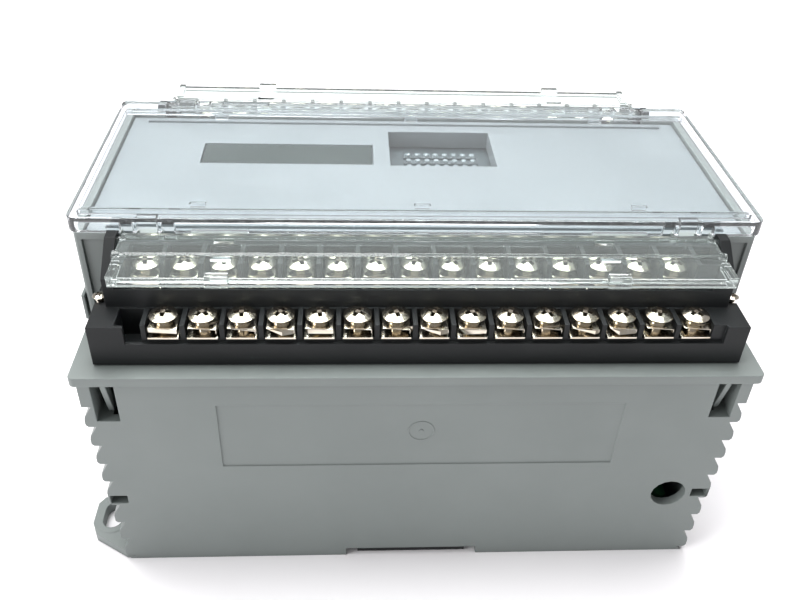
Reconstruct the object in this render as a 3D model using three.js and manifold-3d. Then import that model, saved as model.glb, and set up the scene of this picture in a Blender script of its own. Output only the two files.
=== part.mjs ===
// A compact programmable controller: a two-part housing with a terminal block
// along each long side, a clear lid over the display face and a clear flap over
// each block. Millimetres, +Z up, lying on its rail side, origin under its middle.
import * as THREE from 'three';
import * as BufferGeometryUtils from 'three/addons/utils/BufferGeometryUtils.js';
import Module from 'manifold-3d';

const wasm = await Module();
wasm.setup();

// ---------------------------------------------------------------- driving sizes
const GAP = 0.3;                  // between pieces that rest on each other
const WALL = 2.2;                 // housing wall

const FLANGE_X = 70.3;            // half length of the parting flange
const FLANGE_Y = 49.6;            // half width of the parting flange
const FLANGE_TOP = 59;
const FLANGE_THICK = 2.2;
const FLANGE_UNDER = FLANGE_TOP - FLANGE_THICK;

const CASE_Y = 47.6;              // half width of the lower case
const CASE_CORNER_X = 69.6;       // half length of the plain band under the flange
const CASE_BAND_BASE = 49.4;      // where the louvred ends start
const CASE_TOP = FLANGE_UNDER - GAP;
const CAVITY_X = 64.2;
const CAVITY_Y = CASE_Y - WALL;

const LOUVRE_TOPS = [CASE_BAND_BASE, 43.8, 38.2, 32.6, 27, 19.2, 13.2, 7.2];
const LOUVRE_END = 1.2;
const LOUVRE_DEPTH = 1.9;
const END_DRAFT = 2.1;            // how much shorter each end is at the back face

const WINDOW_Z = [45.5, 55.5];    // windows in the long walls that the snap hooks catch in
const WINDOW_IN_Y = 33.6;
const HOOK_X = [64, 65.2];

const EAR_SLOT_X = 72.6;
const EAR_SLOT_Y = 36.8;
const EAR_THICK = 3;

const RAIL_HALF = 17.9;           // half of the 35 mm rail channel, with clearance
const RAIL_DEPTH = 6;
const RAIL_FLOOR = RAIL_DEPTH + 2;
const HOOK_LOW = 3.3;
const HOOK_HIGH = 4.7;

const TOWER_X = 70.8;
const TOWER_Y = 28;
const TOWER_TOP = 79.1;
const PANEL_TOP = 78.3;
const PANEL_THICK = 1.6;

const LID_X = 71.6;
const LID_Y = 28.5;
const LID_TOP = 82.8;
const LID_THICK = 1.4;
const LID_BASE = TOWER_TOP + GAP;
const SNAP_X = 55.7;              // lid snaps, either side of the middle

const PITCH = 7.62;               // terminal pitch
const WAYS = 15;                  // terminals in a row
const ROW_SHIFT = PITCH / 4;      // the two rows are staggered by half a pitch
const BLOCK_X = 65.9;
const BLOCK_FRONT = 45.7;
const BLOCK_BACK = TOWER_Y + 0.5;
const BLOCK_BASE = FLANGE_TOP + GAP;
const LOWER_FLOOR = 65.2;
const LOWER_WALL_TOP = 68.6;
const LOWER_ROW_Y = 42.4;
const RISER_Y = 38.9;
const UPPER_FLOOR = 71.7;
const UPPER_WALL_TOP = 78;
const UPPER_ROW_Y = 35;
const BARRIER = 1;
const BAY_END_X = 61.2;           // inner face of the end cheeks
const CHEEK_X = 63.4;             // outer face of a cheek's tall part
const FIXING_X = 65.1;            // the screws that hold a block down
const FIXING_Y = 36.4;
const FIXING_SLOT = 0.95;         // half width of the slots they stand in

const COVER_X = 60.4;
const COVER_FRONT = 45;
const COVER_BACK = 29.4;
const COVER_STEP = 36.4;
const COVER_TOP = 80;
const HINGE_Y = 30.5;
const HINGE_Z = 79;
const HINGE_R = 0.8;

const LED_COLUMNS = 8;
const LED_ROWS = 3;

// ---------------------------------------------------------------- materials
const plastic = (color, roughness = 0.55) => new THREE.MeshStandardMaterial({ color, roughness });
const metal = (color, roughness = 0.3) => new THREE.MeshStandardMaterial({
  color, roughness, metalness: 1,
});
const clear = (color) => new THREE.MeshStandardMaterial({
  color, roughness: 0.08, transparent: true, opacity: 0.35,
});

const caseGrey = plastic(0x878f8c);
const panelGrey = plastic(0xc6cdcf, 0.5);
const blockBlack = plastic(0x232526, 0.5);
const clearPlastic = clear(0xe6eef2);
const smokedPlastic = plastic(0x3a4044, 0.25);
const nickel = metal(0xc9c2b4);
const boardGreen = plastic(0x2c5a3c, 0.6);
const darkPart = plastic(0x2b2d30, 0.6);
const relayBlue = plastic(0x2f5f9a, 0.45);
const coreSteel = metal(0x8f8a80, 0.5);
const sleeveBlue = plastic(0x2a3550, 0.4);

// ---------------------------------------------------------------- solids
function solid(geometry) {
  const bare = geometry.index ? geometry.toNonIndexed() : geometry.clone();
  bare.deleteAttribute('normal');
  bare.deleteAttribute('uv');
  const merged = BufferGeometryUtils.mergeVertices(bare, 1e-4);
  return new wasm.Manifold(new wasm.Mesh({
    numProp: 3,
    vertProperties: new Float32Array(merged.attributes.position.array),
    triVerts: new Uint32Array(merged.index.array),
  }));
}

function box([x0, x1], [y0, y1], [z0, z1]) {
  const geometry = new THREE.BoxGeometry(x1 - x0, y1 - y0, z1 - z0);
  geometry.translate((x0 + x1) / 2, (y0 + y1) / 2, (z0 + z1) / 2);
  return solid(geometry);
}

// An outline in X and Y, raised from z0 to z1.
function slab(shape, z0, z1, curveSegments = 4) {
  const options = { depth: z1 - z0, bevelEnabled: false, curveSegments };
  const geometry = new THREE.ExtrudeGeometry(shape, options);
  geometry.translate(0, 0, z0);
  return solid(geometry);
}

// An outline given as (y, z) points, run along X from x0 to x1.
function alongX(points, x0, x1) {
  const shape = new THREE.Shape(points.map(([y, z]) => new THREE.Vector2(y, z)));
  const geometry = new THREE.ExtrudeGeometry(shape, { depth: x1 - x0, bevelEnabled: false });
  geometry.applyMatrix4(new THREE.Matrix4().set(0, 0, 1, x0, 1, 0, 0, 0, 0, 1, 0, 0, 0, 0, 0, 1));
  return solid(geometry);
}

// An outline given as (x, z) points, run along Y from y0 to y1.
function alongY(points, y0, y1) {
  const shape = new THREE.Shape(points.map(([x, z]) => new THREE.Vector2(x, z)));
  const geometry = new THREE.ExtrudeGeometry(shape, { depth: y1 - y0, bevelEnabled: false });
  geometry.applyMatrix4(new THREE.Matrix4().set(1, 0, 0, 0, 0, 0, -1, y1, 0, 1, 0, 0, 0, 0, 0, 1));
  return solid(geometry);
}

function roundedRectangle(halfX, halfY, radius) {
  const shape = new THREE.Shape();
  shape.absarc(halfX - radius, halfY - radius, radius, 0, Math.PI / 2);
  shape.absarc(radius - halfX, halfY - radius, radius, Math.PI / 2, Math.PI);
  shape.absarc(radius - halfX, radius - halfY, radius, Math.PI, 1.5 * Math.PI);
  shape.absarc(halfX - radius, radius - halfY, radius, 1.5 * Math.PI, 2 * Math.PI);
  return shape;
}

// A turned piece standing on Z at (x, y), from a closed profile of (radius, z) points.
function turned(profile, x, y, sides = 10) {
  const points = profile.map(([radius, z]) => new THREE.Vector2(radius, z));
  const geometry = new THREE.LatheGeometry(points, sides);
  geometry.rotateX(Math.PI / 2);
  geometry.translate(x, y, 0);
  return solid(geometry);
}

function post(x, y, radius, z0, z1, sides = 10) {
  return turned([[0, z0], [radius, z0], [radius, z1], [0, z1]], x, y, sides);
}

function rodAlong(axis, radius, from, to, [a, b], sides = 10) {
  const geometry = new THREE.CylinderGeometry(radius, radius, to - from, sides);
  if (axis === 'x') {
    geometry.rotateZ(Math.PI / 2);
    geometry.translate((from + to) / 2, a, b);
  } else {
    geometry.translate(a, (from + to) / 2, b);
  }
  return solid(geometry);
}

const join = (...solids) => solids.reduce((sum, next) => sum.add(next));
const cut = (from, ...tools) => tools.reduce((rest, tool) => rest.subtract(tool), from);

function mesh(name, shape, material) {
  const { vertProperties, triVerts } = shape.getMesh();
  const geometry = new THREE.BufferGeometry();
  geometry.setAttribute('position', new THREE.BufferAttribute(new Float32Array(vertProperties), 3));
  geometry.setIndex(new THREE.BufferAttribute(new Uint32Array(triVerts), 1));
  geometry.computeVertexNormals();
  const result = new THREE.Mesh(geometry, material);
  result.name = name;
  return result;
}

const MIRRORS = [-1, 1];
const CORNERS = MIRRORS.flatMap((sx) => MIRRORS.map((sy) => [sx, sy]));
const span = (a, b) => (a < b ? [a, b] : [b, a]);

// ---------------------------------------------------------------- lower case
// Half length of the louvred end at a height, following its draft.
const endX = (z) => CASE_CORNER_X - END_DRAFT * (1 - z / CASE_BAND_BASE);

// One end's outline from the top down: each louvre leans out and is undercut.
function louvredSide() {
  const points = [[CASE_CORNER_X, CASE_TOP], [CASE_CORNER_X, CASE_BAND_BASE]];
  LOUVRE_TOPS.forEach((top, index) => {
    const bottom = LOUVRE_TOPS[index + 1] ?? LOUVRE_END;
    const tip = endX(top);
    points.push([tip - LOUVRE_DEPTH, top], [tip - 0.2, top - 2.8], [tip, top - 3.8]);
    points.push([tip, bottom + 0.6], [tip - 0.5, bottom]);
  });
  points.push([endX(LOUVRE_END) - LOUVRE_DEPTH, LOUVRE_END], [endX(0) - 0.6, 0]);
  return points;
}

// A mounting ear at the back corner, drawn for the near left and turned for the far right.
function mountingEar(turn) {
  const ear = new THREE.Shape([
    [-65.5, -47.4], [-67.6, -47.4], [-75.8, -42.2], [-77.2, -39],
    [-77.2, -33], [-75.8, -31], [-65.5, -31],
  ].map(([x, y]) => new THREE.Vector2(turn * x, turn * y)));
  const slotShape = (radius) => {
    const shape = new THREE.Shape();
    shape.absarc(turn * -EAR_SLOT_X, turn * -EAR_SLOT_Y - 1.6, radius, Math.PI, 2 * Math.PI);
    shape.absarc(turn * -EAR_SLOT_X, turn * -EAR_SLOT_Y + 1.6, radius, 0, Math.PI);
    return shape;
  };
  const padHeight = 0.3;
  const pad = slab(slotShape(3.9), EAR_THICK - padHeight - 0.2, EAR_THICK);
  return cut(join(slab(ear, 0, EAR_THICK - padHeight), pad), slab(slotShape(2.25), -1, EAR_THICK + 1));
}

function lowerCase() {
  const right = louvredSide();
  const left = right.map(([x, z]) => [-x, z]).reverse();
  let body = alongY([...right, ...left], -CASE_Y, CASE_Y);
  body = cut(body, box([-CAVITY_X, CAVITY_X], [-CAVITY_Y, CAVITY_Y], [-1, CASE_TOP + 1]));
  body = join(body, mountingEar(1), mountingEar(-1));
  const cuts = [
    // the rail channel leaves through both ends
    box([-90, 90], [-RAIL_HALF, RAIL_HALF], [-1, RAIL_DEPTH]),
    // notch for the rail latch's pull tab
    box([-15.6, 15.6], [-CASE_Y - 1, -CAVITY_Y + 1], [-1, 2.4]),
    // driver hole in the near wall
    rodAlong('y', 4, -CASE_Y - 1, -CAVITY_Y + 1, [59, 20.9], 16),
    // label recess in the near wall
    box([-42.4, 43.4], [-CASE_Y - 1, -CASE_Y + 0.3], [31.6, 49.6]),
  ];
  for (const [sx, sy] of CORNERS) {
    // the snap window, the way down to it for the hook, and a slot lower on the corner
    cuts.push(box(span(sx * 62.3, sx * 67), span(sy * WINDOW_IN_Y, sy * (CASE_Y + 1)), WINDOW_Z));
    cuts.push(box(
      span(sx * 62.3, sx * (HOOK_X[1] + 0.4)),
      span(sy * WINDOW_IN_Y, sy * CAVITY_Y),
      [WINDOW_Z[0], CASE_TOP + 1],
    ));
    cuts.push(box(span(sx * 64.4, sx * 68.2), span(sy * (CASE_Y - 3), sy * (CASE_Y + 1)), [19.8, 22.3]));
  }
  return cut(body, ...cuts);
}

// ---------------------------------------------------------------- back plate and rail latch
const PLATE_X = CAVITY_X - GAP;
const PLATE_Y = CAVITY_Y - GAP;
const BOSS_TOP = 13.4;
const BOSS_X = 56;
const BOSS_Y = 38;
const LATCH_HALF = 13;
const LATCH_TRAVEL = 3;

// A hat section closes the back: its flats lie level with the case, its crown clears the
// rail, and two raised lands on the crown take the rail's face.
function backPlate() {
  const skin = 2;
  const half = [
    [RAIL_HALF, 0], [PLATE_Y, 0], [PLATE_Y, skin], [RAIL_HALF + skin, skin], [RAIL_HALF + skin, RAIL_FLOOR],
  ];
  const section = [...half, ...half.map(([y, z]) => [-y, z]).reverse()];
  const crown = RAIL_DEPTH + 0.4;
  section.push([-RAIL_HALF, crown], [RAIL_HALF, crown]);
  let plate = alongX(section, -PLATE_X, PLATE_X);
  for (const side of MIRRORS) {
    plate = plate.add(box(span(side * 24, side * 60), [-13, 13], [RAIL_DEPTH, crown + 0.5]));
  }
  const hookReach = 1.6;
  for (const x of [-42, 0, 42]) {
    plate = plate.add(box([x - 9, x + 9], [RAIL_HALF - hookReach, RAIL_HALF + 1], [HOOK_LOW, HOOK_HIGH]));
  }
  for (const [sx, sy] of CORNERS) {
    plate = plate.add(post(sx * BOSS_X, sy * BOSS_Y, 3, 1.5, BOSS_TOP, 8));
  }
  const latchSlot = LATCH_HALF + GAP;
  const slotTop = HOOK_HIGH + GAP;
  const slotBox = box([-latchSlot, latchSlot], [-PLATE_Y - 1, -RAIL_HALF + 1], [-1, slotTop]);
  const slotReach = [-PLATE_Y, -RAIL_HALF];
  const roof = box([-latchSlot - skin, latchSlot + skin], slotReach, [slotTop, HOOK_HIGH + skin]);
  const cheeks = MIRRORS.map((side) => (
    box(span(side * latchSlot, side * (latchSlot + skin)), slotReach, [0, HOOK_HIGH + skin])
  ));
  return join(cut(plate, slotBox), roof, ...cheeks);
}

// The latch slides in Y: a tongue under the rail, two spring legs and a pull tab in the notch.
function railLatch() {
  const nose = -RAIL_HALF + 1.5;
  const heel = CAVITY_Y - LATCH_TRAVEL - 0.5;
  const tabEnd = CASE_Y - 0.8;
  const tongue = alongX([
    [nose, HOOK_LOW], [nose, HOOK_HIGH - 0.6], [nose - 0.6, HOOK_HIGH], [-heel, HOOK_HIGH], [-heel, 2.1],
    [-tabEnd, 2.1], [-tabEnd, GAP], [2 - heel, GAP], [2 - heel, HOOK_LOW],
  ].reverse(), -LATCH_HALF, LATCH_HALF);
  const windows = MIRRORS.map((side) => (
    box(span(side * 5, side * 10), [-37, -26], [HOOK_LOW - 1, HOOK_HIGH + 1])
  ));
  const pullSlot = box([-4, 4], [-tabEnd + 0.8, -tabEnd + 2.2], [-1, 3]);
  return cut(tongue, ...windows, pullSlot);
}

// ---------------------------------------------------------------- upper housing
const TOWER_WALL = 1.8;
const TOWER_IN_X = TOWER_X - TOWER_WALL;
const TOWER_IN_Y = TOWER_Y - TOWER_WALL;
const HEADER_Y = 36.5;
const HEADER_HALF_X = 56;
const PORT_Y = [-26.8, 12];       // expansion port in the left end
const PORT_Z = [60.2, 62.7];

// A hook that reaches down from the flange into a window of the lower case.
function snapHook(sx, sy) {
  const reach = [
    [CAVITY_Y - 1.4, FLANGE_UNDER + 0.5], [CAVITY_Y - 1.4, 46.6], [CAVITY_Y - 0.6, 45.8],
    [CASE_Y - 0.5, WINDOW_Z[1] - 1.4], [CASE_Y - 0.5, WINDOW_Z[1] - GAP],
    [CAVITY_Y - GAP, WINDOW_Z[1] - GAP], [CAVITY_Y - GAP, FLANGE_UNDER + 0.5],
  ].map(([y, z]) => [sy * y, z]);
  return alongX(sy > 0 ? reach.reverse() : reach, ...span(sx * HOOK_X[0], sx * HOOK_X[1]));
}

function upperHousing() {
  let body = join(
    slab(roundedRectangle(FLANGE_X, FLANGE_Y, 1.2), FLANGE_UNDER, FLANGE_TOP, 3),
    slab(roundedRectangle(TOWER_X, TOWER_Y, 0.8), FLANGE_UNDER, TOWER_TOP, 2),
  );
  body = cut(
    body,
    box([-TOWER_IN_X, TOWER_IN_X], [-TOWER_IN_Y, TOWER_IN_Y], [58, TOWER_TOP + 1]),
    box([-CAVITY_X + 2, CAVITY_X - 2], [-TOWER_IN_Y, TOWER_IN_Y], [FLANGE_UNDER - 1, FLANGE_TOP]),
    box([-TOWER_X - 1, -TOWER_IN_X + 1], PORT_Y, PORT_Z),
  );
  const recesses = [];
  for (const [sx, sy] of CORNERS) {
    recesses.push(box(
      span(sx * 56, sx * 69.2),
      span(sy * (TOWER_Y - 0.7), sy * (TOWER_Y + 1)),
      [FLANGE_TOP + 0.6, 77.4],
    ));
    recesses.push(box(
      span(sx * (SNAP_X - 5.6), sx * (SNAP_X + 5.6)),
      span(sy * (TOWER_Y - 0.9), sy * (TOWER_Y + 1)),
      [76.6, TOWER_TOP + 1],
    ));
    for (const x of [SNAP_X - 4.1, SNAP_X + 4.1]) {
      recesses.push(box(
        span(sx * (x - 1.2), sx * (x + 1.2)),
        span(sy * (TOWER_IN_Y - 0.1), sy * (TOWER_Y + 1)),
        [74.6, TOWER_TOP + 1],
      ));
    }
  }
  for (const sy of MIRRORS) {
    recesses.push(box(
      [-HEADER_HALF_X - 1, HEADER_HALF_X + 1],
      span(sy * (HEADER_Y - 4), sy * (HEADER_Y + 4)),
      [FLANGE_UNDER - 1, FLANGE_TOP + 1],
    ));
    for (const sx of MIRRORS) {
      recesses.push(post(sx * FIXING_X, sy * FIXING_Y, 1.1, FLANGE_UNDER - 1, FLANGE_TOP + 1, 8));
    }
  }
  body = cut(body, ...recesses);
  const hooks = CORNERS.map(([sx, sy]) => snapHook(sx, sy));
  const catches = CORNERS.map(([sx, sy]) => box(
    span(sx * (SNAP_X - 1.8), sx * (SNAP_X + 1.8)),
    span(sy * (TOWER_Y - 1.4), sy * TOWER_Y),
    [75.6, TOWER_TOP],
  ));
  const ledges = MIRRORS.map((sy) => box(
    [-TOWER_IN_X - 0.5, TOWER_IN_X + 0.5],
    span(sy * (TOWER_IN_Y - 1.2), sy * (TOWER_IN_Y + 0.5)),
    [74, PANEL_TOP - PANEL_THICK - GAP],
  ));
  return join(body, ...hooks, ...catches, ...ledges);
}

// ---------------------------------------------------------------- display face
const FILTER_X = [-49.5, -9.4];
const FILTER_Y = [2.3, 12.3];
const WELL_X = [-5.4, 19.7];
const WELL_Y = [1.9, 19.7];
const WELL_BASE = 74;
const LED_TOP = 74.9;

function frontPanel() {
  const edgeX = TOWER_IN_X - GAP;
  const edgeY = TOWER_IN_Y - GAP;
  const base = PANEL_TOP - PANEL_THICK;
  const wellWall = 1.1;
  const well = box(
    [WELL_X[0] - wellWall, WELL_X[1] + wellWall],
    [WELL_Y[0] - wellWall, WELL_Y[1] + wellWall],
    [WELL_BASE, base + 0.5],
  );
  const plate = join(box([-edgeX, edgeX], [-edgeY, edgeY], [base, PANEL_TOP]), well);
  const grooves = MIRRORS.map((sy) => box(
    [-edgeX + 3.6, edgeX - 3.6],
    span(sy * 23.2, sy * 24.3),
    [PANEL_TOP - 0.7, PANEL_TOP + 1],
  ));
  return cut(
    plate,
    box(WELL_X, WELL_Y, [WELL_BASE - 1, PANEL_TOP + 1]),
    box(FILTER_X, FILTER_Y, [PANEL_TOP - 0.9, PANEL_TOP + 1]),
    box([FILTER_X[0] + 2, FILTER_X[1] - 2], [FILTER_Y[0] + 2, FILTER_Y[1] - 2], [base - 1, PANEL_TOP]),
    ...grooves,
  );
}

function displayFilter() {
  const [x0, x1] = FILTER_X;
  const [y0, y1] = FILTER_Y;
  return box([x0 + GAP, x1 - GAP], [y0 + GAP, y1 - GAP], [PANEL_TOP - 0.6, PANEL_TOP - 0.1]);
}

// The lamps sit low in the well, so the board fills the well's open bottom.
function indicatorBoard() {
  const lampPitch = [2.27, 2.95];
  const first = [-0.5, 8.7];
  const base = WELL_BASE - GAP - 1.6;
  const [x0, x1] = WELL_X;
  const [y0, y1] = WELL_Y;
  let board = box([x0 - 1, x1 + 1], [y0 - 1, y1 + 1], [base, base + 1.6]);
  for (let row = 0; row < LED_ROWS; row += 1) {
    const lampBar = box(
      [first[0] - 1.2, first[0] + 1.2 + lampPitch[0] * (LED_COLUMNS - 1)],
      [first[1] - 1 + row * lampPitch[1], first[1] + 1 + row * lampPitch[1]],
      [base + 1, LED_TOP - 0.6],
    );
    board = board.add(lampBar);
    for (let column = 0; column < LED_COLUMNS; column += 1) {
      const x = first[0] + column * lampPitch[0];
      const y = first[1] + row * lampPitch[1];
      board = board.add(post(x, y, 0.75, LED_TOP - 1, LED_TOP, 6));
    }
  }
  return board;
}

// ---------------------------------------------------------------- clear lid
function clearLid() {
  const skirt = 1.4;
  let lid = cut(
    slab(roundedRectangle(LID_X, LID_Y, 2), LID_BASE, LID_TOP, 4),
    slab(roundedRectangle(LID_X - skirt, LID_Y - skirt, 1), LID_BASE - 1, LID_TOP - LID_THICK, 3),
  );
  for (const sy of MIRRORS) {
    const rail = box(
      [-LID_X + 1, LID_X - 1],
      span(sy * (LID_Y - 5.2), sy * (LID_Y - 4.2)),
      [LID_TOP - LID_THICK - 1.2, LID_TOP - 1],
    );
    lid = lid.add(rail);
    for (const sx of MIRRORS) {
      const slit = box(span(sx * 35.6, sx * 47), span(sy * (LID_Y - 2), sy * (LID_Y + 1)), [
        LID_BASE - 1, LID_BASE + 0.4,
      ]);
      lid = lid.subtract(slit);
    }
    for (const x of [-46.4, 0.3, 46.8]) {
      lid = lid.add(box([x - 1.6, x + 1.6], span(sy * 20.6, sy * 21.6), [LID_TOP - 2.4, LID_TOP - 1]));
    }
  }
  for (const [sx, sy] of CORNERS) {
    const reach = span(sy * (LID_Y - 2.6), sy * (LID_Y + 1));
    lid = cut(
      lid,
      box(span(sx * (SNAP_X - 2), sx * (SNAP_X + 2)), reach, [LID_BASE - 1, LID_TOP - 0.9]),
      box(span(sx * (SNAP_X - 5.4), sx * (SNAP_X - 2.9)), reach, [LID_BASE - 1, LID_TOP - LID_THICK]),
      box(span(sx * (SNAP_X + 2.9), sx * (SNAP_X + 5.4)), reach, [LID_BASE - 1, LID_TOP - LID_THICK]),
    );
  }
  return lid;
}

// ---------------------------------------------------------------- terminal blocks
// The blocks are drawn on the near side with y measured outward, so both sides share one drawing.
const outward = (points) => points.map(([y, z]) => [-y, z]);
const rowX = (shift, way) => shift + (way - (WAYS - 1) / 2) * PITCH;
const SCREW_HOLE_R = 1.8;
const CLAMP_HALF = 3;
const CLAMP_THICK = 2.2;
const ABOVE = 90;                 // clear of everything, for open-topped pockets

// One row's bays: a pocket for each terminal, leaving thin barriers between them.
function bays(shift, inner, outer, floor) {
  const pockets = [];
  for (let way = 0; way < WAYS; way += 1) {
    const x = rowX(shift, way);
    const half = (PITCH - BARRIER) / 2;
    pockets.push(box([x - half, x + half], [-outer, -inner], [floor, ABOVE]));
  }
  return pockets;
}

function screwWells(shift, y, floor) {
  const wells = [];
  for (let way = 0; way < WAYS; way += 1) {
    wells.push(post(rowX(shift, way), -y, SCREW_HOLE_R, floor - 6, floor + 1, 6));
  }
  return wells;
}

function terminalBlock(withWells) {
  const rows = alongX(outward([
    [BLOCK_BACK, BLOCK_BASE], [BLOCK_FRONT, BLOCK_BASE], [BLOCK_FRONT, LOWER_WALL_TOP],
    [RISER_Y, LOWER_WALL_TOP], [RISER_Y, UPPER_WALL_TOP], [BLOCK_BACK, UPPER_WALL_TOP],
  ]).reverse(), -BAY_END_X, BAY_END_X);
  const cheek = outward([
    [BLOCK_BACK, BLOCK_BASE], [BLOCK_FRONT, BLOCK_BASE], [BLOCK_FRONT, LOWER_WALL_TOP],
    [RISER_Y, LOWER_WALL_TOP], [RISER_Y, 75.2], [31.8, 80.5], [29.2, 80.5], [28.8, 79.6],
    [BLOCK_BACK, 76.6],
  ]).reverse();
  const parts = [rows];
  for (const side of MIRRORS) {
    parts.push(alongX(cheek, ...span(side * BAY_END_X, side * CHEEK_X)));
    parts.push(box(
      span(side * (CHEEK_X - 1), side * BLOCK_X),
      [-BLOCK_FRONT, -BLOCK_BACK],
      [BLOCK_BASE, LOWER_WALL_TOP],
    ));
  }
  const bayEdge = (PITCH + BARRIER) / 2;
  const front = 0.9;
  const back = 1.6;
  const upperLip = 0.5;
  const cuts = [
    ...bays(ROW_SHIFT, RISER_Y + 0.4, BLOCK_FRONT - front, LOWER_FLOOR),
    ...bays(-ROW_SHIFT, BLOCK_BACK + back, RISER_Y - upperLip, UPPER_FLOOR),
    // each row's front lip stands lower than its barriers
    box([-58.9, BAY_END_X], [-BLOCK_FRONT - 1, -BLOCK_FRONT + front], [LOWER_FLOOR - 0.7, ABOVE]),
    box([-BAY_END_X, BAY_END_X - 2], [-RISER_Y - 1, -RISER_Y + upperLip], [UPPER_FLOOR + 1.2, ABOVE]),
    // blank bays that the stagger leaves at opposite ends
    box(
      [-BAY_END_X + 0.6, rowX(ROW_SHIFT, 0) - bayEdge],
      [-BLOCK_FRONT + front, -RISER_Y - 0.4],
      [LOWER_FLOOR - 3.2, ABOVE],
    ),
    box(
      [rowX(-ROW_SHIFT, WAYS - 1) + bayEdge, BAY_END_X - 0.6],
      [-RISER_Y + front, -BLOCK_BACK - back],
      [UPPER_FLOOR - 1.7, ABOVE],
    ),
    // room behind the upper row for the flap's hinge edge
    box([-BAY_END_X, BAY_END_X], [-BLOCK_BACK - 2.6, -BLOCK_BACK + 1], [UPPER_WALL_TOP - 1, ABOVE]),
    // the connector pocket underneath
    box(
      [-HEADER_HALF_X - 1, HEADER_HALF_X + 1],
      [-HEADER_Y - 4, -HEADER_Y + 4],
      [BLOCK_BASE - 1, BLOCK_BASE + 2.3],
    ),
  ];
  if (withWells) {
    cuts.push(...screwWells(ROW_SHIFT, LOWER_ROW_Y, LOWER_FLOOR));
    cuts.push(...screwWells(-ROW_SHIFT, UPPER_ROW_Y, UPPER_FLOOR));
  }
  for (const side of MIRRORS) {
    const pinReach = span(side * (BAY_END_X - 1), side * (BAY_END_X + 3));
    cuts.push(rodAlong('x', HINGE_R + GAP, ...pinReach, [-HINGE_Y, HINGE_Z], 12));
    cuts.push(box(
      span(side * (FIXING_X - FIXING_SLOT), side * (BLOCK_X + 1)),
      [-FIXING_Y - FIXING_SLOT, -FIXING_Y + FIXING_SLOT],
      [BLOCK_BASE - 1, LOWER_WALL_TOP + 1],
    ));
  }
  return cut(join(...parts), ...cuts);
}

// A screw with its captive square clamp: plate, collar, bowl-sided head with a cross recess.
function clampScrew(x, y, floor, turn, shankLength) {
  const plateTop = floor + GAP + CLAMP_THICK;
  const headTop = plateTop + 2.6;
  const plateX = [x - CLAMP_HALF, x + CLAMP_HALF];
  const plateY = [-y - CLAMP_HALF, -y + CLAMP_HALF];
  const plate = box(plateX, plateY, [floor + GAP, plateTop]);
  const head = turned([
    [0, floor - shankLength], [1.4, floor - shankLength], [1.4, plateTop - 0.4],
    [1.75, plateTop - 0.4], [1.75, plateTop + 0.8], [2.83, plateTop + 1.8],
    [1.8, headTop - 0.2], [0, headTop],
  ], x, -y, 8);
  const slot = new THREE.BoxGeometry(3.2, 0.65, 2);
  const arms = [turn, turn + Math.PI / 2].map((angle) => {
    const arm = slot.clone();
    arm.rotateZ(angle);
    arm.translate(x, -y, headTop);
    return solid(arm);
  });
  return cut(plate.add(head), ...arms);
}

function headTurn(index) {
  return (index * 2.4) % Math.PI;
}

// The far block carries its own screws in one piece: they are the near ones without the wells.
function farTerminalBlock() {
  let block = terminalBlock(false);
  for (let way = 0; way < WAYS; way += 1) {
    block = block.add(clampStub(rowX(ROW_SHIFT, way), LOWER_ROW_Y, LOWER_FLOOR));
    block = block.add(clampStub(rowX(-ROW_SHIFT, way), UPPER_ROW_Y, UPPER_FLOOR));
  }
  return block;
}

function clampStub(x, y, floor) {
  const plateTop = floor + GAP + CLAMP_THICK;
  const plateX = [x - CLAMP_HALF, x + CLAMP_HALF];
  const plateY = [-y - CLAMP_HALF, -y + CLAMP_HALF];
  const plate = box(plateX, plateY, [floor - 0.5, plateTop]);
  const head = turned([
    [0, plateTop - 0.4], [1.75, plateTop - 0.4], [1.75, plateTop + 0.8],
    [2.83, plateTop + 1.8], [0, plateTop + 2.6],
  ], x, -y, 6);
  return plate.add(head);
}

// The screw that holds a block down, one at each end, outside the tall cheek.
function blockScrew(side) {
  const x = side * FIXING_X;
  const seat = LOWER_WALL_TOP + GAP;
  const tip = FLANGE_UNDER + 0.4;
  const shape = turned([
    [0, tip], [0.65, tip], [0.65, seat], [1.3, seat], [1.3, seat + 0.9], [0.9, seat + 1.3], [0, seat + 1.3],
  ], x, -FIXING_Y, 10);
  return cut(shape, box([x - 2, x + 2], [-FIXING_Y - 0.2, -FIXING_Y + 0.2], [seat + 0.7, seat + 2]));
}

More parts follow.
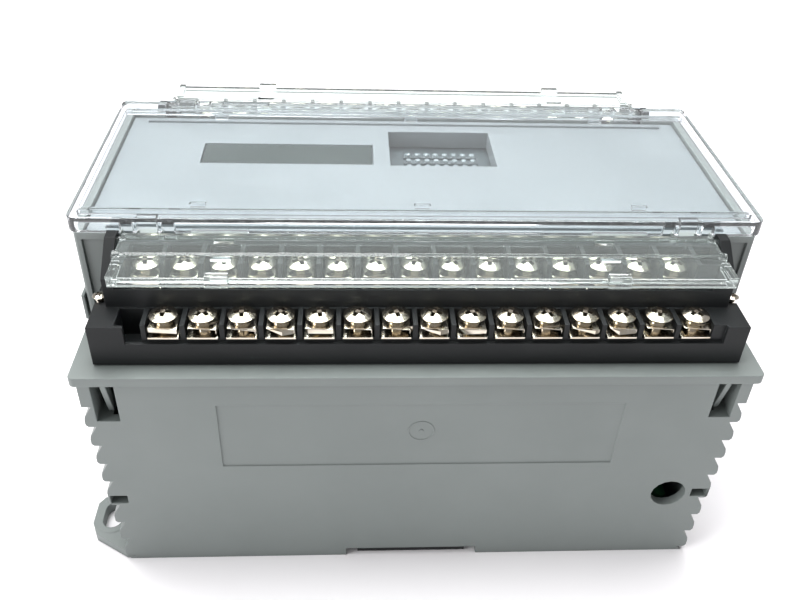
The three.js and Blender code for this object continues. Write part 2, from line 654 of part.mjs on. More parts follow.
// The clear flap: two strips with a step between them, a front lip and side rails.
function terminalFlap() {
  const lipBase = COVER_TOP - 2.2;
  const step = 0.3;
  const innerBase = COVER_TOP - 1.4;
  const plate = alongX(outward([
    [COVER_BACK, innerBase], [COVER_STEP, innerBase], [COVER_STEP + 0.5, innerBase - step],
    [COVER_FRONT - 1.4, innerBase - step], [COVER_FRONT - 1.4, lipBase], [COVER_FRONT, lipBase],
    [COVER_FRONT, COVER_TOP - step], [COVER_STEP + 0.5, COVER_TOP - step],
    [COVER_STEP, COVER_TOP], [COVER_BACK, COVER_TOP],
  ]).reverse(), -COVER_X, COVER_X);
  const pieces = [plate];
  for (const side of MIRRORS) {
    const pinReach = span(side * (COVER_X - 0.8), side * (BAY_END_X + 1.5));
    const knobReach = span(side * (COVER_X - 0.8), side * (COVER_X + 0.6));
    pieces.push(box(
      span(side * (COVER_X - 1.6), side * COVER_X),
      [-COVER_FRONT, -39.5],
      [lipBase, COVER_TOP + 0.2],
    ));
    pieces.push(rodAlong('x', HINGE_R, ...pinReach, [-HINGE_Y, HINGE_Z], 10));
    pieces.push(rodAlong('x', 1.1, ...knobReach, [-COVER_STEP, HINGE_Z + 0.2], 8));
  }
  const slots = [];
  for (const [x0, x1] of [[-42, -38], [35, 39]]) {
    const tabY = [-COVER_FRONT - 0.6, -COVER_FRONT + 1];
    pieces.push(box([x0 - 0.2, x1 + 0.2], tabY, [lipBase + 0.2, COVER_TOP + 0.6]));
    slots.push(box([x0, x1], [-32.4, -31.4], [lipBase, COVER_TOP + 1]));
    slots.push(box([x0, x1], [-38.2, -37.4], [lipBase, COVER_TOP + 1]));
  }
  return cut(join(...pieces), ...slots);
}

// ---------------------------------------------------------------- inside the housing
const POWER_BOARD_Z = BOSS_TOP + GAP;
const BOARD_THICK = 1.6;
const LOGIC_BOARD_Z = 50;
const powerTop = POWER_BOARD_Z + BOARD_THICK + GAP;
const logicTop = LOGIC_BOARD_Z + BOARD_THICK + GAP;

function board(halfX, halfY, z) {
  return box([-halfX, halfX], [-halfY, halfY], [z, z + BOARD_THICK]);
}

// A row connector between the logic board and a terminal block.
function terminalHeader() {
  return join(
    box([-HEADER_HALF_X, HEADER_HALF_X], [-HEADER_Y - 3, -HEADER_Y + 3], [logicTop, logicTop + 6]),
    box([-HEADER_HALF_X + 1, HEADER_HALF_X - 1], [-HEADER_Y - 1.5, -HEADER_Y + 1.5], [logicTop + 5, 61]),
  );
}

function transformer() {
  const core = box([-54, -18], [-16, 16], [powerTop, powerTop + 26]);
  const windows = [[-55, -47], [-25, -17]].map((reach) => (
    box(reach, [-17, 17], [powerTop + 17, powerTop + 27])
  ));
  const bobbin = box([-46, -26], [-20, 20], [powerTop + 5, powerTop + 21]);
  return join(cut(core, ...windows), bobbin);
}

function bulkCapacitor() {
  return turned([
    [0, powerTop], [8, powerTop], [9, powerTop + 1],
    [9, powerTop + 28], [8.3, powerTop + 29.5], [0, powerTop + 29.5],
  ], 0, 22, 14);
}

function relay(index) {
  const x = 10 + index * 13.5;
  return box([x, x + 11], [-34, -12], [powerTop, powerTop + 16]);
}

function boardConnector() {
  return box([20, 52], [22, 28], [powerTop, LOGIC_BOARD_Z - GAP]);
}

function processor() {
  return box([-40, -12], [-14, 14], [logicTop, logicTop + 2.6]);
}

// The port's socket stands on the logic board and looks out of the left end.
function expansionConnector() {
  return join(
    box([-60, -50], [-24, 9], [logicTop, PORT_Z[0] + 0.8]),
    box([-68, -50], [-24, 9], [PORT_Z[0] + GAP, PORT_Z[1] - GAP]),
  );
}

function expansionCover() {
  const [y0, y1] = PORT_Y;
  const [z0, z1] = PORT_Z;
  const plug = box([-TOWER_X - 0.5, -TOWER_X + 1.4], [y0 + GAP, y1 - GAP], [z0 + GAP, z1 - GAP]);
  const plate = box([-TOWER_X - 1.1, -TOWER_X - GAP], [y0 - 1.2, y1 + 1.2], [z0 - 3.2, z1 + 0.7]);
  return plate.add(plug);
}

// ---------------------------------------------------------------- assembly
const controller = new THREE.Group();
controller.add(
  mesh('lower_case', lowerCase(), caseGrey),
  mesh('back_plate', backPlate(), caseGrey),
  mesh('rail_latch', railLatch(), blockBlack),
  mesh('upper_housing', upperHousing(), caseGrey),
  mesh('front_panel', frontPanel(), panelGrey),
  mesh('display_filter', displayFilter(), smokedPlastic),
  mesh('indicator_board', indicatorBoard(), boardGreen),
  mesh('clear_lid', clearLid(), clearPlastic),
  mesh('power_board', board(61, 43, POWER_BOARD_Z), boardGreen),
  mesh('logic_board', board(61, 43, LOGIC_BOARD_Z), boardGreen),
  mesh('transformer', transformer(), coreSteel),
  mesh('bulk_capacitor', bulkCapacitor(), sleeveBlue),
  mesh('board_connector', boardConnector(), darkPart),
  mesh('processor', processor(), darkPart),
  mesh('expansion_connector', expansionConnector(), darkPart),
  mesh('expansion_cover', expansionCover(), caseGrey),
);
for (let index = 0; index < 4; index += 1) {
  controller.add(mesh(`relay_${index + 1}`, relay(index), relayBlue));
}

// What both sides share is drawn near and turned half round for the far side.
const sides = { near: new THREE.Group(), far: new THREE.Group() };
sides.far.rotation.z = Math.PI;
for (const [name, side] of Object.entries(sides)) {
  const block = name === 'near' ? terminalBlock(true) : farTerminalBlock();
  side.add(
    mesh(`terminal_block_${name}`, block, blockBlack),
    mesh(`terminal_flap_${name}`, terminalFlap(), clearPlastic),
    mesh(`terminal_header_${name}`, terminalHeader(), darkPart),
    mesh(`block_screw_${name}_1`, blockScrew(-1), nickel),
    mesh(`block_screw_${name}_2`, blockScrew(1), nickel),
  );
  controller.add(side);
}

const rows = [
  { name: 'lower', shift: ROW_SHIFT, y: LOWER_ROW_Y, floor: LOWER_FLOOR },
  { name: 'upper', shift: -ROW_SHIFT, y: UPPER_ROW_Y, floor: UPPER_FLOOR },
];
rows.forEach(({ name, shift, y, floor }, row) => {
  for (let way = 0; way < WAYS; way += 1) {
    const screw = clampScrew(rowX(shift, way), y, floor, headTurn(way + 4 * row), 5);
    const number = String(way + 1).padStart(2, '0');
    sides.near.add(mesh(`terminal_screw_${name}_${number}`, screw, nickel));
  }
});

export default controller;
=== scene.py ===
"""Looks for a compact programmable controller: moulded housing, two screw terminal
blocks with clear flaps, and a clear lid over the indicator panel. Metres, +Z up."""

import math

import bmesh
import bpy
from mathutils import Matrix, Vector


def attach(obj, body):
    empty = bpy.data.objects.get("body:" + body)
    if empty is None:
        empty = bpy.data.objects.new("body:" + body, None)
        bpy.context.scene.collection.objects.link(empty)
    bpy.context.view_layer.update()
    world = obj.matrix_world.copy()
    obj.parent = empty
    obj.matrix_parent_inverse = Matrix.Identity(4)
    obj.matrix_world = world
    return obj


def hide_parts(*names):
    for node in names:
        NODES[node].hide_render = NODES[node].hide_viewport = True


MM = 0.001
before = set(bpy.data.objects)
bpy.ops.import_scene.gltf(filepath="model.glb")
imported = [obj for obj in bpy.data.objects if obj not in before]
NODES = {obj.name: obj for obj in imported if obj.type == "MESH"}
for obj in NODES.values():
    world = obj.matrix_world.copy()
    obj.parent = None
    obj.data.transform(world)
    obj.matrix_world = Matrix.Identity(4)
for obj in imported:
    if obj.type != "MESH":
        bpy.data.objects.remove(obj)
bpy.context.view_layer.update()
SCENE = bpy.context.scene
UNTURNED = Matrix.Identity(4)
HALF_TURN = Matrix.Rotation(math.pi, 4, "Z")


# ---------------------------------------------------------------- node helpers
def shader(name):
    """An empty node material with its output, a Principled shader and object coordinates."""
    material = bpy.data.materials.new(name)
    material.use_nodes = True
    tree = material.node_tree
    tree.nodes.clear()
    output = tree.nodes.new("ShaderNodeOutputMaterial")
    surface = tree.nodes.new("ShaderNodeBsdfPrincipled")
    tree.links.new(surface.outputs["BSDF"], output.inputs["Surface"])
    place = tree.nodes.new("ShaderNodeTexCoord").outputs["Object"]
    return material, tree, surface, place


def noise(tree, place, scale, detail=3.0, roughness=0.55, stretch=None):
    """Fractal noise over the object, at scale features to the metre."""
    if stretch is not None:
        mapping = tree.nodes.new("ShaderNodeMapping")
        mapping.inputs["Scale"].default_value = stretch
        tree.links.new(place, mapping.inputs["Vector"])
        place = mapping.outputs["Vector"]
    made = tree.nodes.new("ShaderNodeTexNoise")
    made.inputs["Scale"].default_value = scale
    made.inputs["Detail"].default_value = detail
    made.inputs["Roughness"].default_value = roughness
    tree.links.new(place, made.inputs["Vector"])
    return made.outputs["Fac"]


def ramp(tree, value, stops):
    """Colours along a value, from (position, colour) stops."""
    made = tree.nodes.new("ShaderNodeValToRGB")
    elements = made.color_ramp.elements
    while len(elements) < len(stops):
        elements.new(0.5)
    for element, (position, colour) in zip(elements, stops):
        element.position = position
        element.color = (*colour, 1)
    tree.links.new(value, made.inputs["Fac"])
    return made.outputs["Color"]


def spread(tree, value, low, high, start=0.3, end=0.7):
    """A value stretched from start..end to low..high."""
    made = tree.nodes.new("ShaderNodeMapRange")
    limits = (("From Min", start), ("From Max", end), ("To Min", low), ("To Max", high))
    for socket, number in limits:
        made.inputs[socket].default_value = number
    tree.links.new(value, made.inputs["Value"])
    return made.outputs["Result"]


def mixed(tree, factor, first, second):
    """Two colours mixed by a factor; each is a socket or a plain colour."""
    made = tree.nodes.new("ShaderNodeMix")
    made.data_type = "RGBA"
    factor_in, first_in, second_in = made.inputs[0], made.inputs[6], made.inputs[7]
    for socket, value in ((factor_in, factor), (first_in, first), (second_in, second)):
        if isinstance(value, bpy.types.NodeSocket):
            tree.links.new(value, socket)
        else:
            socket.default_value = (*value, 1)
    return made.outputs[2]


def bumped(tree, surface, heights):
    """Chains bumps, each (height, strength, distance in metres), into a shader's normal."""
    normal = None
    for height, strength, distance in heights:
        made = tree.nodes.new("ShaderNodeBump")
        made.inputs["Strength"].default_value = strength
        made.inputs["Distance"].default_value = distance
        tree.links.new(height, made.inputs["Height"])
        if normal is not None:
            tree.links.new(normal, made.inputs["Normal"])
        normal = made.outputs["Normal"]
    tree.links.new(normal, surface.inputs["Normal"])


def linear(red, green, blue):
    """A display colour, 0 to 255, as the linear one a shader takes."""
    def one(value):
        value /= 255
        return value / 12.92 if value <= 0.04045 else ((value + 0.055) / 1.055) ** 2.4
    return one(red), one(green), one(blue)


# ---------------------------------------------------------------- materials
# Painted shade: how far ambient occlusion reaches and how dark it makes creases and corners.
CREASE_SHADE_REACH = 2.5 * MM
CREASE_SHADE_TONE = 0.4
WARM_SHARE = (0.86, 0.80, 0.68)
CLEAR_ROUGHNESS = 0.03
CLEAR_PASS = 0.93
POURS = (
    (0.42, linear(28, 70, 45)),
    (0.48, linear(44, 96, 62)),
    (0.52, linear(46, 98, 64)),
    (0.58, linear(32, 76, 50)),
)


def moulded(name, dark, light, roughness, grain=0.25, grain_scale=2600, specular=0.5, crease_shade=0.0):
    """Moulded plastic: slow tone drift, pale flecks, eroded grain, and painted shade darkening its
    creases.
    """
    material, tree, surface, place = shader(name)
    drift = noise(tree, place, scale=28, detail=4)
    speck = noise(tree, place, scale=900, detail=2)
    tone = mixed(tree, spread(tree, drift, low=0, high=1), dark, light)
    fleck = spread(tree, speck, low=0.0, high=0.12, start=0.55, end=0.8)
    tone = mixed(tree, fleck, tone, light)
    # painted shade: creases and corners darkened by ambient occlusion
    if crease_shade:
        hollow = tree.nodes.new("ShaderNodeAmbientOcclusion")
        hollow.samples = 6
        hollow.inputs["Distance"].default_value = CREASE_SHADE_REACH
        painted_shade = spread(tree, hollow.outputs["AO"], low=crease_shade, high=0.0, start=0.2, end=0.9)
        tone = mixed(tree, painted_shade, tone, tuple(CREASE_SHADE_TONE * value for value in dark))
    tree.links.new(tone, surface.inputs["Base Color"])
    smudge = noise(tree, place, scale=60, detail=5, roughness=0.6)
    gloss = spread(tree, smudge, low=roughness - 0.07, high=roughness + 0.09)
    tree.links.new(gloss, surface.inputs["Roughness"])
    surface.inputs["Specular IOR Level"].default_value = specular
    fine = noise(tree, place, scale=grain_scale, detail=2, roughness=0.6)
    slow = noise(tree, place, scale=90, detail=2)
    bumped(tree, surface, [(slow, 0.12, 0.05 * MM), (fine, grain, 0.03 * MM)])
    return material


def plated(name, colour, roughness):
    """Nickel plate over pressed steel: warm, streaked, with small dents and dull patches."""
    material, tree, surface, place = shader(name)
    patch = noise(tree, place, scale=420, detail=4)
    warm = tuple(value * share for value, share in zip(colour, WARM_SHARE))
    tone = mixed(tree, spread(tree, patch, low=0, high=0.8), colour, warm)
    tree.links.new(tone, surface.inputs["Base Color"])
    surface.inputs["Metallic"].default_value = 1.0
    streak = noise(tree, place, scale=1500, detail=3, roughness=0.6, stretch=(1, 1, 5))
    gloss = spread(tree, streak, low=roughness - 0.06, high=roughness + 0.12)
    tree.links.new(gloss, surface.inputs["Roughness"])
    dent = noise(tree, place, scale=500, detail=2)
    bumped(tree, surface, [(dent, 0.15, 0.03 * MM), (streak, 0.06, 0.005 * MM)])
    return material


def clear(name, tint, milk):
    """Clear polycarbonate, a little milky, that lets light through to what it covers."""
    material, tree, surface, place = shader(name)
    surface.inputs["Base Color"].default_value = (*tint, 1)
    surface.inputs["Transmission Weight"].default_value = 1 - milk
    surface.inputs["IOR"].default_value = 1.5
    haze = noise(tree, place, scale=70, detail=4, roughness=0.6)
    gloss = spread(tree, haze, low=CLEAR_ROUGHNESS * 0.6, high=CLEAR_ROUGHNESS * 1.9)
    tree.links.new(gloss, surface.inputs["Roughness"])
    path = tree.nodes.new("ShaderNodeLightPath")
    through = tree.nodes.new("ShaderNodeBsdfTransparent")
    through.inputs["Color"].default_value = (CLEAR_PASS, CLEAR_PASS, CLEAR_PASS, 1)
    mix = tree.nodes.new("ShaderNodeMixShader")
    tree.links.new(path.outputs["Is Shadow Ray"], mix.inputs["Fac"])
    tree.links.new(surface.outputs["BSDF"], mix.inputs[1])
    tree.links.new(through.outputs["BSDF"], mix.inputs[2])
    output = next(node for node in tree.nodes if node.bl_idname == "ShaderNodeOutputMaterial")
    tree.links.new(mix.outputs["Shader"], output.inputs["Surface"])
    return material


def laminate(name):
    """Green solder resist over glass cloth, with the weave and copper pours showing faintly."""
    material, tree, surface, place = shader(name)
    pour = noise(tree, place, scale=120, detail=1, roughness=0.2, stretch=(1, 1, 0.1))
    tree.links.new(ramp(tree, pour, POURS), surface.inputs["Base Color"])
    weave = tree.nodes.new("ShaderNodeTexWave")
    weave.inputs["Scale"].default_value = 900
    weave.inputs["Distortion"].default_value = 1.0
    tree.links.new(place, weave.inputs["Vector"])
    tree.links.new(spread(tree, pour, low=0.28, high=0.42), surface.inputs["Roughness"])
    bumped(tree, surface, [(pour, 0.4, 0.03 * MM), (weave.outputs["Fac"], 0.06, 0.02 * MM)])
    return material


def laminations(name):
    """Stacked core steel: fine edge lines and varnish."""
    material, tree, surface, place = shader(name)
    lines = tree.nodes.new("ShaderNodeTexWave")
    lines.bands_direction = "Y"
    lines.inputs["Scale"].default_value = 320
    lines.inputs["Distortion"].default_value = 0.4
    tree.links.new(place, lines.inputs["Vector"])
    tone = mixed(tree, lines.outputs["Fac"], linear(92, 88, 82), linear(150, 145, 136))
    tree.links.new(tone, surface.inputs["Base Color"])
    surface.inputs["Metallic"].default_value = 0.8
    varnish = noise(tree, place, scale=200)
    tree.links.new(spread(tree, varnish, low=0.3, high=0.5), surface.inputs["Roughness"])
    bumped(tree, surface, [(lines.outputs["Fac"], 0.5, 0.08 * MM)])
    return material


def paper(name):
    """The white sheet that the part lies on."""
    material, tree, surface, place = shader(name)
    drift = noise(tree, place, scale=3, detail=3)
    tone = mixed(tree, spread(tree, drift, low=0, high=1), (0.93, 0.91, 0.935), (0.95, 0.935, 0.95))
    tree.links.new(tone, surface.inputs["Base Color"])
    rub = noise(tree, place, scale=40)
    tree.links.new(spread(tree, rub, low=0.7, high=0.85), surface.inputs["Roughness"])
    surface.inputs["Specular IOR Level"].default_value = 0.2
    bumped(tree, surface, [(noise(tree, place, scale=900), 0.05, 0.05 * MM)])
    return material


# The case and panel greys carry painted shade in their creases.
CASE = moulded(
    "case_grey", linear(114, 121, 119), linear(121, 128, 126), roughness=0.46, crease_shade=0.45)
PANEL = moulded(
    "panel_grey", linear(112, 119, 121), linear(119, 126, 128), roughness=0.42, grain=0.12,
    crease_shade=0.15)
BLACK = moulded(
    "block_black", linear(26, 28, 29), linear(33, 35, 36), roughness=0.44, grain=0.3,
    grain_scale=1800, specular=0.22)
SHADOW_PLASTIC = moulded(
    "socket_black", linear(26, 28, 30), linear(34, 36, 38), roughness=0.5, grain=0.2, specular=0.3)
NICKEL = plated("nickel", (0.68, 0.64, 0.57), roughness=0.15)
# Painted shade: dark nickel for the insides of the cross recesses, standing in for the shade in
# them.
RECESS_SHADE = plated("screw_recess_shade", (0.16, 0.14, 0.12), roughness=0.45)
LID_CLEAR = clear("lid_clear", (0.95, 0.98, 1.0), milk=0.012)
FLAP_CLEAR = clear("flap_clear", (0.9, 0.975, 0.955), milk=0.035)
SMOKED = moulded(
    "smoked_window", linear(52, 60, 58), linear(58, 66, 64), roughness=0.16, grain=0.02,
    grain_scale=600)
SLATE = moulded("lamp_mask", linear(62, 72, 74), linear(70, 80, 82), roughness=0.5, grain=0.15)
LAMP = moulded(
    "lamp_lens", linear(128, 138, 140), linear(140, 150, 152), roughness=0.25, grain=0.05,
    grain_scale=600)
BOARD = laminate("solder_resist")
CORE = laminations("core_laminations")
RELAY_BLUE = moulded(
    "relay_blue", linear(44, 88, 142), linear(54, 100, 158), roughness=0.32, grain=0.08)
SLEEVE = moulded(
    "capacitor_sleeve", linear(34, 44, 66), linear(42, 54, 78), roughness=0.3, grain=0.08)


# ---------------------------------------------------------------- mesh helpers
WELD = 0.002 * MM
FLAT_ANGLE = math.radians(0.8)
EDGE_ANGLE = math.radians(28)
SMOOTH_ANGLE = math.radians(35)
EDGE_STEPS = 2
SMALL_FACE = 0.3
CORNER_SLACK = 0.1


def meshed(name, bm):
    """bm as mesh data."""
    mesh = bpy.data.meshes.new(name)
    bm.to_mesh(mesh)
    bm.free()
    return mesh


def finished(name, bm, material, body):
    """A mesh object from bm, smooth but for its sharp edges, riding on a CAD body."""
    bmesh.ops.recalc_face_normals(bm, faces=bm.faces)
    mesh = meshed(name, bm)
    mesh.polygons.foreach_set("use_smooth", [True] * len(mesh.polygons))
    mesh.set_sharp_from_angle(angle=SMOOTH_ANGLE)
    mesh.materials.append(material)
    piece = bpy.data.objects.new(name, mesh)
    SCENE.collection.objects.link(piece)
    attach(piece, body)
    return piece


def cad_copy(node, turn):
    """The node's solid as editable faces: welded, flat areas made whole, and turned."""
    bm = bmesh.new()
    bm.from_mesh(NODES[node].data)
    bmesh.ops.remove_doubles(bm, verts=bm.verts, dist=WELD)
    bmesh.ops.dissolve_limit(bm, angle_limit=FLAT_ANGLE, verts=bm.verts, edges=bm.edges)
    if turn is not None:
        bmesh.ops.transform(bm, matrix=turn, verts=bm.verts)
    return bm


def round_edges(bm, width):
    """Rounds every edge that turns by more than EDGE_ANGLE."""
    edges = [
        edge for edge in bm.edges
        if len(edge.link_faces) == 2 and edge.calc_face_angle(0) > EDGE_ANGLE]
    bmesh.ops.bevel(
        bm, geom=edges, offset=width, offset_type="OFFSET", segments=EDGE_STEPS, profile=0.5,
        affect="EDGES", clamp_overlap=False, material=-1)


def eased(name, node, material, body, width, turn=None, replaces=None, crisp=False):
    """The node's own shape with moulded edges, in place of the CAD node; crisp keeps flats flat."""
    bm = cad_copy(node, turn)
    round_edges(bm, width)
    piece = finished(name, bm, material, body)
    weighted = piece.modifiers.new("weighted", "WEIGHTED_NORMAL")
    weighted.keep_sharp = True
    if crisp:
        for face in piece.data.polygons:
            face.use_smooth = face.area < SMALL_FACE * MM * MM
    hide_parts(replaces or node)
    return piece


def lathed(bm, profile, sides=28):
    """A turned solid about Z, from (radius, z) points in mm that start and end on the axis."""
    angles = [2 * math.pi * step / sides for step in range(sides)]
    rings = []
    for radius, z in profile:
        if radius == 0:
            rings.append([bm.verts.new((0, 0, z * MM))])
            continue
        rings.append([
            bm.verts.new((radius * math.cos(angle) * MM, radius * math.sin(angle) * MM, z * MM))
            for angle in angles])
    for low, high in zip(rings, rings[1:]):
        for step in range(sides):
            following = (step + 1) % sides
            corners = [low[step % len(low)], low[following % len(low)],
                       high[following % len(high)], high[step % len(high)]]
            bm.faces.new(list(dict.fromkeys(corners)))


def plate(bm, x, y, z, edge=0.12, lift=0.0):
    """A flat plate between (low, high) pairs in mm; lift turns its near left corner up."""
    made = bmesh.ops.create_cube(bm, size=1)["verts"]
    for vert in made:
        for axis, (low, high) in enumerate((x, y, z)):
            vert.co[axis] = (high if vert.co[axis] > 0 else low) * MM
    corner = [
        v for v in made
        if v.co.x < (x[0] + CORNER_SLACK) * MM and v.co.y < (y[0] + CORNER_SLACK) * MM]
    bmesh.ops.translate(bm, verts=corner, vec=(0, 0, lift * MM))
    edges = list(dict.fromkeys(e for v in made for e in v.link_edges))
    bmesh.ops.bevel(
        bm, geom=edges, offset=edge * MM, offset_type="OFFSET", segments=EDGE_STEPS, profile=0.5,
        affect="EDGES", clamp_overlap=True, material=-1)


def carved(stock, cutter):
    """The stock's mesh with the cutter's volume taken away."""
    objects = []
    for name, part in (("stock", stock), ("cutter", cutter)):
        bmesh.ops.recalc_face_normals(part, faces=part.faces)
        objects.append(bpy.data.objects.new(name, meshed(name, part)))
        SCENE.collection.objects.link(objects[-1])
    cut = objects[0].modifiers.new("cut", "BOOLEAN")
    cut.operation = "DIFFERENCE"
    cut.solver = "MANIFOLD"
    cut.object = objects[1]
    view = bpy.context.evaluated_depsgraph_get()
    result = bmesh.new()
    result.from_mesh(objects[0].evaluated_get(view).data)
    for made in objects:
        mesh = made.data
        bpy.data.objects.remove(made)
        bpy.data.meshes.remove(mesh)
    return meshed("carved", result)


def placed(bm, mesh, matrix):
    """Adds a copy of mesh to bm, moved by matrix."""
    before = len(bm.verts)
    bm.from_mesh(mesh)
    bm.verts.ensure_lookup_table()
    bmesh.ops.transform(bm, matrix=matrix, verts=bm.verts[before:])


# ---------------------------------------------------------------- housing
eased("case_lower", "lower_case", CASE, "housing", 0.16 * MM)
eased("case_upper", "upper_housing", CASE, "housing", 0.18 * MM)
eased("case_back", "back_plate", CASE, "housing", 0.16 * MM)
eased("latch", "rail_latch", BLACK, "rail_latch", 0.14 * MM)
eased("panel", "front_panel", PANEL, "housing", 0.12 * MM)
eased("window", "display_filter", SMOKED, "housing", 0.08 * MM)
eased("port_cover", "expansion_cover", CASE, "expansion_cover", 0.2 * MM)
eased("block_near", "terminal_block_near", BLACK, "housing", 0.1 * MM)
eased("block_far", "terminal_block_near", BLACK, "housing", 0.1 * MM,
      turn=HALF_TURN, replaces="terminal_block_far")

eased("lid", "clear_lid", LID_CLEAR, "lid", 0.15 * MM, crisp=True)
eased("flap_front", "terminal_flap_near", FLAP_CLEAR, "flap_near", 0.09 * MM,
      crisp=True)
eased("flap_back", "terminal_flap_far", FLAP_CLEAR, "flap_far", 0.09 * MM,
      crisp=True)


# ---------------------------------------------------------------- terminal screws
PITCH = 7.62
WAYS = 15
LOWER_Y, LOWER_FLOOR = 42.4, 65.2
UPPER_Y, UPPER_FLOOR = 35.0, 71.7
# row, its shift along X, distance from the middle, bay floor, and turn steps ahead
ROWS = (
    ("lower", PITCH / 4, LOWER_Y, LOWER_FLOOR, 0),
    ("upper", -PITCH / 4, UPPER_Y, UPPER_FLOOR, 4),
)
TURN_STEP = 2.4
FAR_TURN = 0.7

SCREW_PROFILE = (
    (0, -5), (1.4, -5), (1.4, 2.3), (1.75, 2.3), (1.75, 3.25), (1.95, 3.35), (2.4, 3.8),
    (2.75, 4.18), (2.83, 4.28), (2.78, 4.36), (2.45, 4.5), (1.95, 4.76), (1.35, 4.96),
    (0.7, 5.07), (0, 5.1))
ARM_RADII = (1.35, 2.1)
ARM_DEPTH = 1.7
ARM_MIDDLE_Z = 4.85
ARM_LENGTH, ARM_WIDTH = 1.3, 0.36
RECESS_REACH = 2
RECESS_LOWEST_Z = 3.9
RECESS_FLOOR_Z = 4.15
RECESS_SLOPE = 0.6

FIXING_X, FIXING_Y, FIXING_Z = 65.1, 36.4, 67.6
FIXING_SCALE = 0.47
FIXING_TURN = 0.5


def screw_mesh():
    """A domed head with a cross recess over a collar and shank; z = 0 is the bay floor."""
    stock = bmesh.new()
    lathed(stock, SCREW_PROFILE)
    cutter = bmesh.new()
    for angle in (0, math.pi / 2):
        arm = bmesh.ops.create_cone(
            cutter, cap_ends=True, segments=4, radius1=ARM_RADII[0] * MM,
            radius2=ARM_RADII[1] * MM, depth=ARM_DEPTH * MM)["verts"]
        shape = (Matrix.Translation((0, 0, ARM_MIDDLE_Z * MM)) @ Matrix.Rotation(angle, 4, "Z")
                 @ Matrix.Diagonal((ARM_LENGTH, ARM_WIDTH, 1, 1))
                 @ Matrix.Rotation(math.pi / 4, 4, "Z"))
        bmesh.ops.transform(cutter, matrix=shape, verts=arm)
    mesh = carved(stock, cutter)
    # Faces inside the cross recess get the second material, their painted shade.
    for face in mesh.polygons:
        middle = face.center
        inside = (math.hypot(middle.x, middle.y) < RECESS_REACH * MM
                  and middle.z > RECESS_LOWEST_Z * MM)
        if inside and (face.normal.z < RECESS_SLOPE or middle.z < RECESS_FLOOR_Z * MM):
            face.material_index = 1
    return mesh


def metalwork(name, bm):
    """A nickel piece whose screw recesses take the second material, a painted shade."""
    piece = finished(name, bm, NICKEL, "housing")
    piece.data.materials.append(RECESS_SHADE)
    return piece


def clamp(bm, screw, x, y, floor_z, turn):
    """One terminal: base plate, a loose clamp plate with a turned-up corner, and its screw."""
    before = len(bm.verts)
    plate(bm, x=(-3, 3), y=(-3, 3), z=(0.3, 0.75), edge=0.08)
    plate(bm, x=(-2.8, 2.8), y=(-2.7, 2.7), z=(1.35, 2.5), edge=0.16, lift=0.4)
    placed(bm, screw, Matrix.Rotation(turn, 4, "Z"))
    bm.verts.ensure_lookup_table()
    bmesh.ops.translate(bm, verts=bm.verts[before:], vec=(x * MM, -y * MM, floor_z * MM))


def terminals(screw):
    """Both rows of clamps: a piece each on the near block, one piece on the far block."""
    far = bmesh.new()
    for row, shift, y, floor_z, ahead in ROWS:
        for way in range(WAYS):
            x = shift + (way - (WAYS - 1) / 2) * PITCH
            turn = (way + ahead) * TURN_STEP % math.pi
            near = bmesh.new()
            clamp(near, screw, x, y, floor_z, turn)
            number = f"{way + 1:02d}"
            piece = metalwork(f"clamp_{row}_{number}", near)
            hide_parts(f"terminal_screw_{row}_{number}")
            clamp(far, screw, x, y, floor_z, turn + FAR_TURN)
    bmesh.ops.transform(far, matrix=HALF_TURN, verts=far.verts)
    metalwork("clamps_far", far)


def fixings(screw):
    """The small screws that hold the blocks down, two to a block."""
    for side, side_turn in (("near", UNTURNED), ("far", HALF_TURN)):
        for number, x in ((1, -FIXING_X), (2, FIXING_X)):
            bm = bmesh.new()
            stand = Matrix.Translation((x * MM, -FIXING_Y * MM, FIXING_Z * MM))
            placed(bm, screw, (side_turn @ stand @ Matrix.Scale(FIXING_SCALE, 4)
                               @ Matrix.Rotation(FIXING_TURN * number, 4, "Z")))
            piece = metalwork(f"fixing_{side}_{number}", bm)
            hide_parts(f"block_screw_{side}_{number}")


SCREW = screw_mesh()
terminals(SCREW)
fixings(SCREW)


# ---------------------------------------------------------------- lamps and moulding mark
LAMP_ROWS = 3
LAMP_COLUMNS = 8
LAMP_FIRST_X, LAMP_FIRST_Y = -0.5, 8.7
LAMP_STEP_X, LAMP_STEP_Y = 2.27, 2.95
LAMP_PROFILE = ((0, 73.8), (0.75, 73.8), (0.75, 74.5), (0.62, 74.75), (0.35, 74.87), (0, 74.9))
BAR_END = 1.2
BAR_HALF = 1

GATE_AT = (0.4, -47.3, 41.7)
GATE_PROFILE = ((0, -0.1), (0.5, -0.1), (0.45, 0.14), (0, 0.16))
RING_PROFILE = (
    (0, -0.2), (2.95, -0.2), (2.9, 0.06), (2.75, 0.13), (2.55, 0.06), (2.5, -0.1), (0, -0.1))


def lamp_mask():
    """The plate at the bottom of the lamp well, with a raised bar for each row of lamps."""
    bm = bmesh.new()
    plate(bm, x=(-6.4, 20.7), y=(0.9, 20.7), z=(72.1, 73.7))
    for row in range(LAMP_ROWS):
        y = LAMP_FIRST_Y + row * LAMP_STEP_Y
        ends = (LAMP_FIRST_X - BAR_END,
                LAMP_FIRST_X + BAR_END + (LAMP_COLUMNS - 1) * LAMP_STEP_X)
        plate(bm, x=ends, y=(y - BAR_HALF, y + BAR_HALF), z=(73.5, 74.3), edge=0.2)
    piece = finished("lamp_mask", bm, SLATE, "housing")
    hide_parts("indicator_board")


def lamp_lenses():
    """The lamps themselves, unlit."""
    bulb = bmesh.new()
    lathed(bulb, LAMP_PROFILE, sides=16)
    lens = meshed("bulb", bulb)
    bm = bmesh.new()
    for row in range(LAMP_ROWS):
        for column in range(LAMP_COLUMNS):
            placed(bm, lens, Matrix.Translation((
                (LAMP_FIRST_X + column * LAMP_STEP_X) * MM,
                (LAMP_FIRST_Y + row * LAMP_STEP_Y) * MM, 0)))
    finished("lamp_lenses", bm, LAMP, "housing")


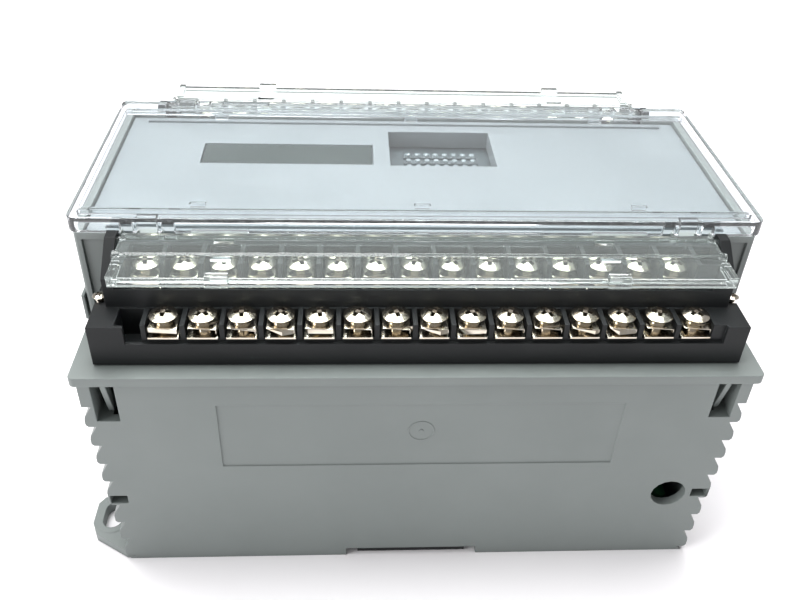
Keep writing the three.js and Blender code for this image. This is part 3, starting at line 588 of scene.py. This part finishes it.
def gate_mark():
    """The moulding gate's stub and ring on the near wall."""
    bm = bmesh.new()
    lathed(bm, GATE_PROFILE, sides=16)
    ring = bmesh.new()
    lathed(ring, RING_PROFILE, sides=40)
    placed(bm, meshed("ring", ring), UNTURNED)
    stand = Matrix.Translation([value * MM for value in GATE_AT])
    bmesh.ops.transform(
        bm, verts=bm.verts, matrix=stand @ Matrix.Rotation(math.pi / 2, 4, "X"))
    finished("gate_mark", bm, CASE, "housing")


lamp_mask()
lamp_lenses()
gate_mark()


# ---------------------------------------------------------------- carried-over nodes
def repaint(material, *names):
    """Gives CAD nodes that are shown as they are their material."""
    for name in names:
        mesh = NODES[name].data
        mesh.materials.clear()
        mesh.materials.append(material)


repaint(BOARD, "power_board", "logic_board")
repaint(CORE, "transformer")
repaint(SLEEVE, "bulk_capacitor")
repaint(RELAY_BLUE, *(f"relay_{number}" for number in range(1, 5)))
repaint(SHADOW_PLASTIC, "board_connector", "processor", "expansion_connector",
        "terminal_header_near", "terminal_header_far")


# ---------------------------------------------------------------- floor, light and camera
FLOOR_HALF = 3
FLOOR_STEPS = 8
WORLD_COLOUR = (1.0, 0.99, 1.0)
WORLD_STRENGTH = 0.42
CAMERA_AT = (-15.25, -177.45, 173.85)
CAMERA_YAW, CAMERA_PITCH, CAMERA_ROLL = 0.075, 0.640, -0.046
SENSOR_WIDTH = 36
LENS = 38.65


def floor():
    """A wide sheet of paper at z = 0."""
    material = paper("paper")
    bm = bmesh.new()
    bmesh.ops.create_grid(bm, x_segments=FLOOR_STEPS, y_segments=FLOOR_STEPS, size=FLOOR_HALF)
    mesh = meshed("floor", bm)
    mesh.materials.append(material)
    ground = bpy.data.objects.new("floor", mesh)
    SCENE.collection.objects.link(ground)


def studio():
    """Even light from all round."""
    world = bpy.data.worlds.new("studio")
    world.use_nodes = True
    background = world.node_tree.nodes["Background"]
    background.inputs["Color"].default_value = (*WORLD_COLOUR, 1)
    background.inputs["Strength"].default_value = WORLD_STRENGTH
    SCENE.world = world


def softbox(name, place, target, size, power):
    """A rectangular light of power watts at place, facing target."""
    data = bpy.data.lights.new(name, "AREA")
    data.shape = "RECTANGLE"
    data.size, data.size_y = size
    data.energy = power
    lamp = bpy.data.objects.new(name, data)
    lamp.location = place
    lamp.rotation_mode = "QUATERNION"
    lamp.rotation_quaternion = (Vector(target) - Vector(place)).to_track_quat("-Z", "Y")
    SCENE.collection.objects.link(lamp)


def camera():
    """Above and in front of the part, looking down at it, slightly turned and rolled."""
    forward = Vector((
        math.sin(CAMERA_YAW) * math.cos(CAMERA_PITCH),
        math.cos(CAMERA_YAW) * math.cos(CAMERA_PITCH),
        -math.sin(CAMERA_PITCH)))
    level = Vector((math.cos(CAMERA_YAW), -math.sin(CAMERA_YAW), 0))
    down = forward.cross(level)
    right = math.cos(CAMERA_ROLL) * level + math.sin(CAMERA_ROLL) * down
    below = -math.sin(CAMERA_ROLL) * level + math.cos(CAMERA_ROLL) * down
    data = bpy.data.cameras.new("camera")
    data.sensor_width = SENSOR_WIDTH
    data.lens = LENS
    data.clip_start, data.clip_end = 0.01, 20
    made = bpy.data.objects.new("camera", data)
    x, y, z = (value * MM for value in CAMERA_AT)
    made.matrix_world = Matrix((
        (right.x, -below.x, -forward.x, x),
        (right.y, -below.y, -forward.y, y),
        (right.z, -below.z, -forward.z, z),
        (0, 0, 0, 1)))
    SCENE.collection.objects.link(made)
    SCENE.camera = made


floor()
studio()
softbox("top", place=(-0.1, 0.25, 1.1), target=(0, 0, 0), size=(1.1, 0.9), power=22.5)
softbox("left", place=(-1.0, -0.45, 0.5), target=(0, 0, 0.05), size=(0.5, 0.5), power=7)
camera()
SCENE.view_settings.view_transform = "Standard"
SCENE.view_settings.look = "None"
